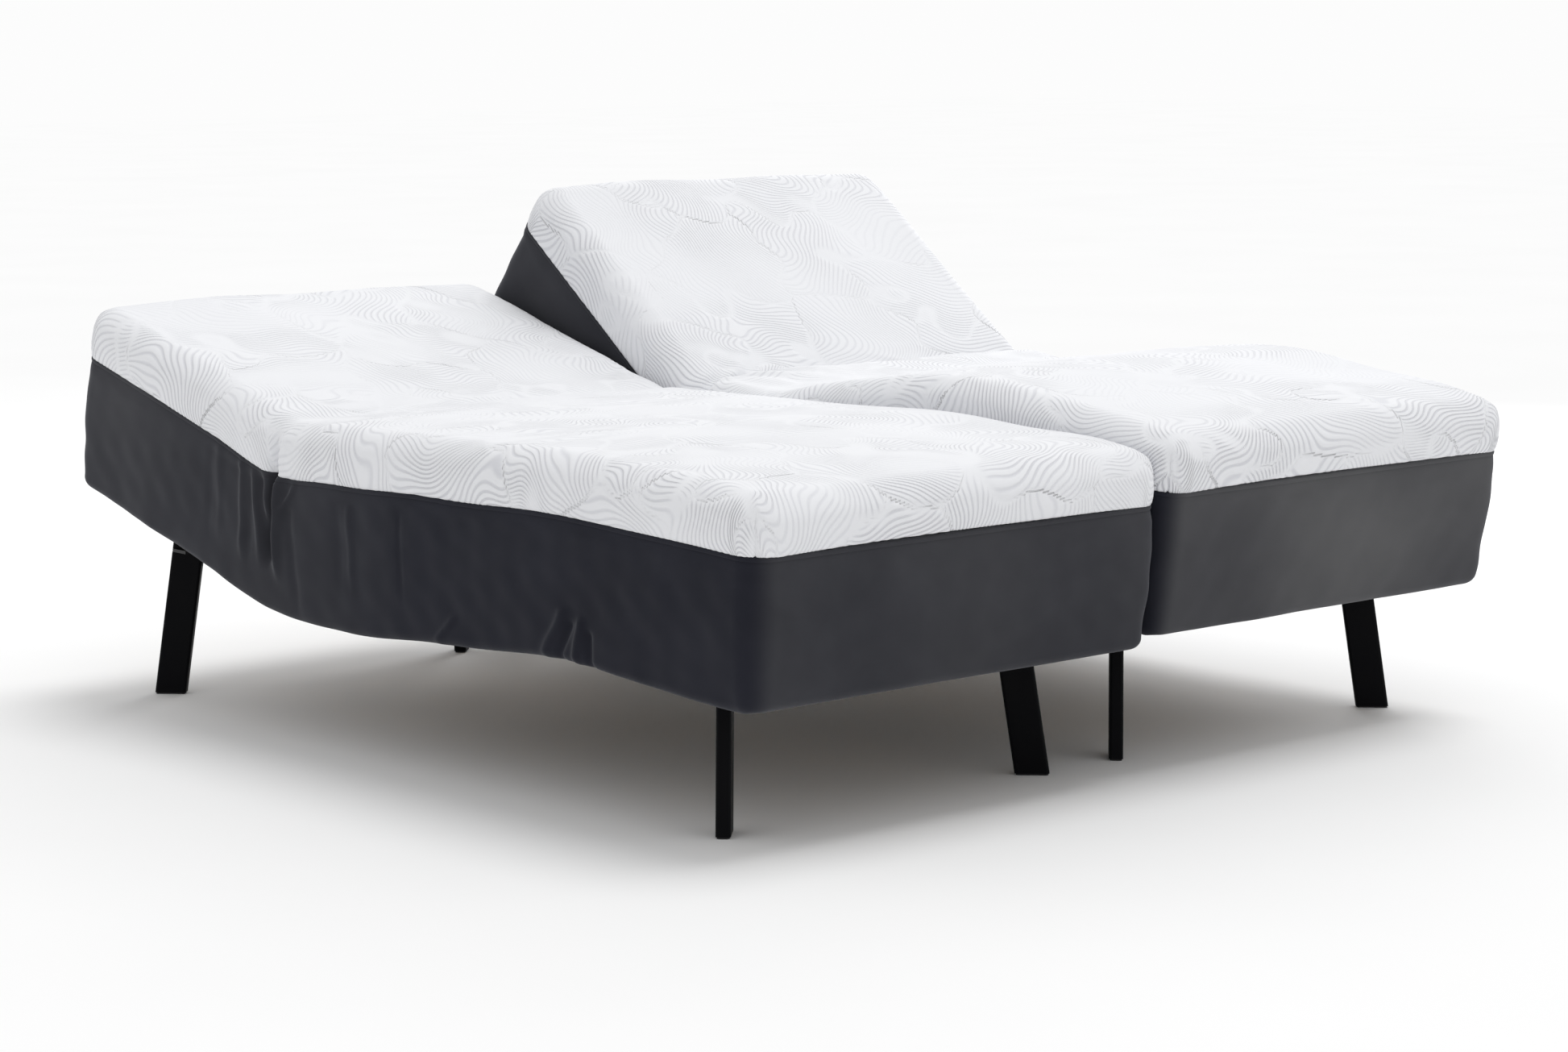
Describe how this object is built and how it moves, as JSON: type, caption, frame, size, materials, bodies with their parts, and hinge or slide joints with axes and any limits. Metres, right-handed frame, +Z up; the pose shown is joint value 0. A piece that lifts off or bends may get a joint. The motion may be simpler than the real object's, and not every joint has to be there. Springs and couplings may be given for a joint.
{
  "type": "adjustable bed base",
  "caption": "Twin upholstered electric beds with hinged back, thigh and foot sections, pushed by linear actuators, on steel frames with slanted flat legs.",
  "frame": {"origin": "middle of the whole pair at floor level, between the two beds", "axes": "+X across the pair from the left bed to the right bed, +Y from the foot end to the head end, +Z up"},
  "size_m": [1.8062, 2.0297, 0.9544],
  "materials": {
    "white_cover": "quilted white stretch knit",
    "grey_border": "charcoal velvet",
    "leg_paint": "satin black powder coat",
    "glide_plastic": "matt",
    "frame_paint": "grey powder coat",
    "zinc_steel": "bright zinc plate",
    "board": "birch plywood",
    "housing_plastic": "fine texture",
    "roller_nylon": "natural nylon",
    "rod_steel": "polished"
  },
  "bodies": {
    "base": {"left_frame_rails": "frame_paint", "left_leg_plates": "frame_paint", "left_legs": "leg_paint", "left_leg_glides": "glide_plastic", "left_leg_bolts": "zinc_steel", "left_hinge_plates": "frame_paint", "left_seat_deck": "board", "left_seat_cushion": "white_cover", "left_seat_border": "grey_border", "left_actuator_housings": "housing_plastic", "left_actuator_motors": "zinc_steel", "left_control_box": "housing_plastic", "right_frame_rails": "frame_paint", "right_leg_plates": "frame_paint", "right_legs": "leg_paint", "right_leg_glides": "glide_plastic", "right_leg_bolts": "zinc_steel", "right_hinge_plates": "frame_paint", "right_seat_deck": "board", "right_seat_cushion": "white_cover", "right_seat_border": "grey_border", "right_actuator_housings": "housing_plastic", "right_actuator_motors": "zinc_steel", "right_control_box": "housing_plastic"},
    "left_back": {"left_back_frame": "frame_paint", "left_back_lever_shaft": "frame_paint", "left_back_deck": "board", "left_back_cushion": "white_cover", "left_back_border": "grey_border"},
    "left_thigh": {"left_thigh_frame": "frame_paint", "left_thigh_lever_shaft": "frame_paint", "left_thigh_deck": "board", "left_thigh_cushion": "white_cover", "left_thigh_border": "grey_border"},
    "left_foot": {"left_foot_frame": "frame_paint", "left_foot_deck": "board", "left_foot_cushion": "white_cover", "left_foot_border": "grey_border"},
    "left_support": {"left_support_arms": "frame_paint", "left_support_rollers": "roller_nylon"},
    "left_back_rod": {"left_back_rod": "rod_steel"},
    "left_thigh_rod": {"left_thigh_rod": "rod_steel"},
    "right_back": {"right_back_frame": "frame_paint", "right_back_lever_shaft": "frame_paint", "right_back_deck": "board", "right_back_cushion": "white_cover", "right_back_border": "grey_border"},
    "right_thigh": {"right_thigh_frame": "frame_paint", "right_thigh_lever_shaft": "frame_paint", "right_thigh_deck": "board", "right_thigh_cushion": "white_cover", "right_thigh_border": "grey_border"},
    "right_foot": {"right_foot_frame": "frame_paint", "right_foot_deck": "board", "right_foot_cushion": "white_cover", "right_foot_border": "grey_border"},
    "right_support": {"right_support_arms": "frame_paint", "right_support_rollers": "roller_nylon"},
    "right_back_rod": {"right_back_rod": "rod_steel"},
    "right_thigh_rod": {"right_thigh_rod": "rod_steel"}
  },
  "joints": [
    {"name": "left_back_hinge", "type": "hinge", "parent": "base", "child": "left_back", "pos_m": [-0.4531, 0.31202, 0.345], "axis": [1, 0, 0], "range_deg": [-14.3, 45.7]},
    {"name": "left_thigh_hinge", "type": "hinge", "parent": "base", "child": "left_thigh", "pos_m": [-0.4531, 0.09702, 0.345], "axis": [-1, 0, 0], "range_deg": [-2, 28]},
    {"name": "left_knee_hinge", "type": "hinge", "parent": "left_thigh", "child": "left_foot", "pos_m": [-0.4531, -0.48263, 0.36524], "axis": [1, 0, 0], "range_deg": [-3.86, 54.04]},
    {"name": "left_support_pivot", "type": "hinge", "parent": "base", "child": "left_support", "pos_m": [-0.4531, -0.52798, 0.265], "axis": [-1, 0, 0], "range_deg": [-2.83, 39.58]},
    {"name": "left_back_rod_slide", "type": "slide", "parent": "base", "child": "left_back_rod", "axis": [0, 1, 0], "range_m": [-0.02026, 0.06474]},
    {"name": "left_thigh_rod_slide", "type": "slide", "parent": "base", "child": "left_thigh_rod", "axis": [0, -1, 0], "range_m": [-0.00293, 0.04107]},
    {"name": "right_back_hinge", "type": "hinge", "parent": "base", "child": "right_back", "pos_m": [0.4531, 0.31202, 0.345], "axis": [1, 0, 0], "range_deg": [-37.5, 22.5]},
    {"name": "right_thigh_hinge", "type": "hinge", "parent": "base", "child": "right_thigh", "pos_m": [0.4531, 0.09702, 0.345], "axis": [-1, 0, 0], "range_deg": [-7.4, 22.6]},
    {"name": "right_knee_hinge", "type": "hinge", "parent": "right_thigh", "child": "right_foot", "pos_m": [0.4531, -0.47815, 0.4197], "axis": [1, 0, 0], "range_deg": [-14.28, 43.62]},
    {"name": "right_support_pivot", "type": "hinge", "parent": "base", "child": "right_support", "pos_m": [0.4531, -0.52798, 0.265], "axis": [-1, 0, 0], "range_deg": [-10.46, 31.95]},
    {"name": "right_back_rod_slide", "type": "slide", "parent": "base", "child": "right_back_rod", "axis": [0, 1, 0], "range_m": [-0.05312, 0.03188]},
    {"name": "right_thigh_rod_slide", "type": "slide", "parent": "base", "child": "right_thigh_rod", "axis": [0, -1, 0], "range_m": [-0.01085, 0.03315]}
  ],
  "couplings": [
    {"joint": "left_back_rod_slide", "follows": "left_back_hinge", "m_per_rad": 0.081169},
    {"joint": "left_thigh_rod_slide", "follows": "left_thigh_hinge", "m_per_rad": 0.084032},
    {"joint": "left_knee_hinge", "follows": "left_thigh_hinge", "ratio": 1.93},
    {"joint": "left_support_pivot", "follows": "left_thigh_hinge", "ratio": 1.4135},
    {"joint": "right_back_rod_slide", "follows": "right_back_hinge", "m_per_rad": 0.081169},
    {"joint": "right_thigh_rod_slide", "follows": "right_thigh_hinge", "m_per_rad": 0.084032},
    {"joint": "right_knee_hinge", "follows": "right_thigh_hinge", "ratio": 1.93},
    {"joint": "right_support_pivot", "follows": "right_thigh_hinge", "ratio": 1.4135}
  ]
}
